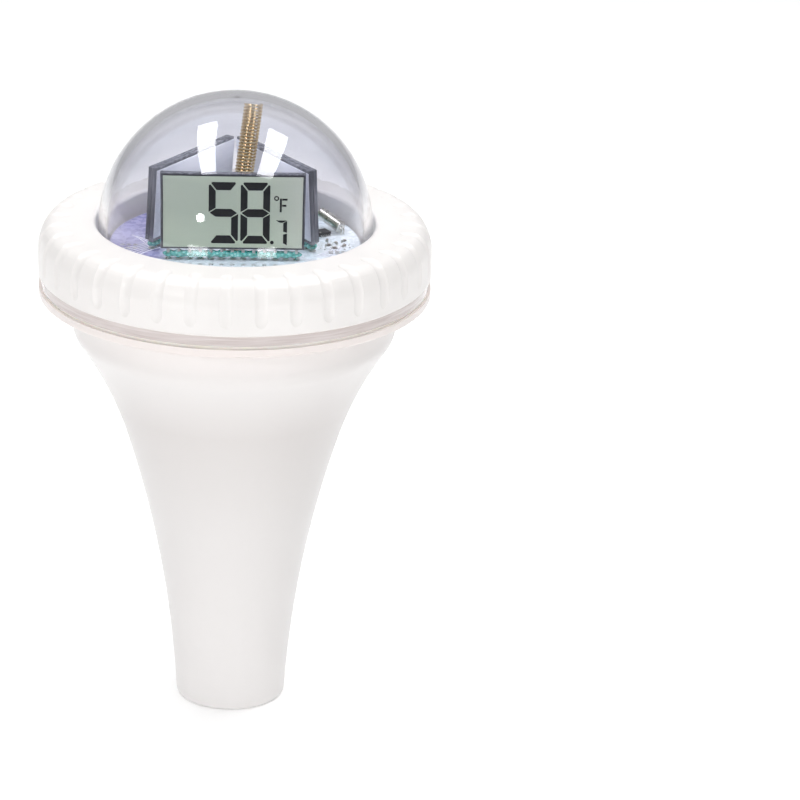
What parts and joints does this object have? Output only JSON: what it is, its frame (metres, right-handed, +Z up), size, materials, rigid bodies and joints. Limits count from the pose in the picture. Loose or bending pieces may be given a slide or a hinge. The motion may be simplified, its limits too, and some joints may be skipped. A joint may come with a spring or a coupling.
{
  "type": "floating pool thermometer",
  "caption": "Trumpet-shaped floating thermometer: screw-on clear dome with ribbed grip collar over a round board with a triangle of displays, cells and ballast in the stem.",
  "frame": {"origin": "centre of the flat foot, on the face it rests on", "axes": "+Z up along the float's axis to the dome; the front display faces -Y"},
  "size_m": [0.096, 0.096, 0.157],
  "materials": {
    "hull_plastic": "fine-textured moulded white",
    "collar_plastic": "smooth moulded white",
    "clear_dome": "clear polished plastic",
    "silicone": "translucent silicone",
    "board": "blue solder mask",
    "display_glass": "polarised display glass",
    "display_film": "satin reflector film",
    "tinned_metal": "tinned",
    "resin": "translucent teal resin",
    "gold_wire": "gold plated",
    "can_metal": "bright nickel",
    "chip_epoxy": "black moulded epoxy",
    "carrier_plastic": "matte moulded",
    "cell_sleeve": "printed film over steel",
    "contact_metal": "nickel-plated spring steel",
    "screw_steel": "zinc plated",
    "cast_weight": "dull cast",
    "probe_steel": "satin stainless",
    "bead_epoxy": "dipped epoxy",
    "potting": "potted resin",
    "lead_jacket": "soft jacket",
    "button_plastic": "matte moulded"
  },
  "bodies": {
    "hull": {"antenna_coil": "gold_wire", "ballast_ring": "cast_weight", "battery_cell_left": "cell_sleeve", "battery_cell_right": "cell_sleeve", "battery_holder": "carrier_plastic", "battery_leads": "lead_jacket", "board_screws": "screw_steel", "bridge_contact": "contact_metal", "controller_chip": "chip_epoxy", "core_carrier": "carrier_plastic", "crystal_can": "can_metal", "float_hull": "hull_plastic", "front_display_glass": "display_glass", "front_display_pins": "tinned_metal", "front_display_reflector": "display_film", "front_resin_bead": "resin", "holder_screws": "screw_steel", "left_display_glass": "display_glass", "left_display_pins": "tinned_metal", "left_display_reflector": "display_film", "left_resin_bead": "resin", "main_board": "board", "negative_contact": "contact_metal", "pairing_switch": "button_plastic", "positive_contact": "contact_metal", "probe_cap": "probe_steel", "probe_potting": "potting", "radio_chip": "chip_epoxy", "right_display_glass": "display_glass", "right_display_pins": "tinned_metal", "right_display_reflector": "display_film", "right_resin_bead": "resin", "sensor_lead": "lead_jacket", "small_components": "tinned_metal", "thermistor": "bead_epoxy", "unit_switch": "button_plastic"},
    "seal": {"seal_ring": "silicone"},
    "cover": {"dome_cover": "clear_dome", "grip_collar": "collar_plastic"},
    "unit_plunger": {"unit_button": "button_plastic"},
    "pairing_plunger": {"pairing_button": "button_plastic"}
  },
  "joints": [
    {"name": "cover_lift", "type": "slide", "parent": "hull", "child": "seal", "axis": [0, 0, 1], "range_m": [0, 0.006]},
    {"name": "cover_turn", "type": "hinge", "parent": "seal", "child": "cover", "pos_m": [0, 0, 0.11], "axis": [0, 0, 1], "range_deg": [0, 720]},
    {"name": "unit_press", "type": "slide", "parent": "hull", "child": "unit_plunger", "axis": [0, 0, -1], "range_m": [0, 0.00025], "stiffness_N_per_m": 2000, "springref_m": -0.0002},
    {"name": "pairing_press", "type": "slide", "parent": "hull", "child": "pairing_plunger", "axis": [0, 0, -1], "range_m": [0, 0.00025], "stiffness_N_per_m": 2000, "springref_m": -0.0002}
  ],
  "couplings": [
    {"joint": "cover_lift", "follows": "cover_turn", "m_per_rad": 0.00047746}
  ]
}
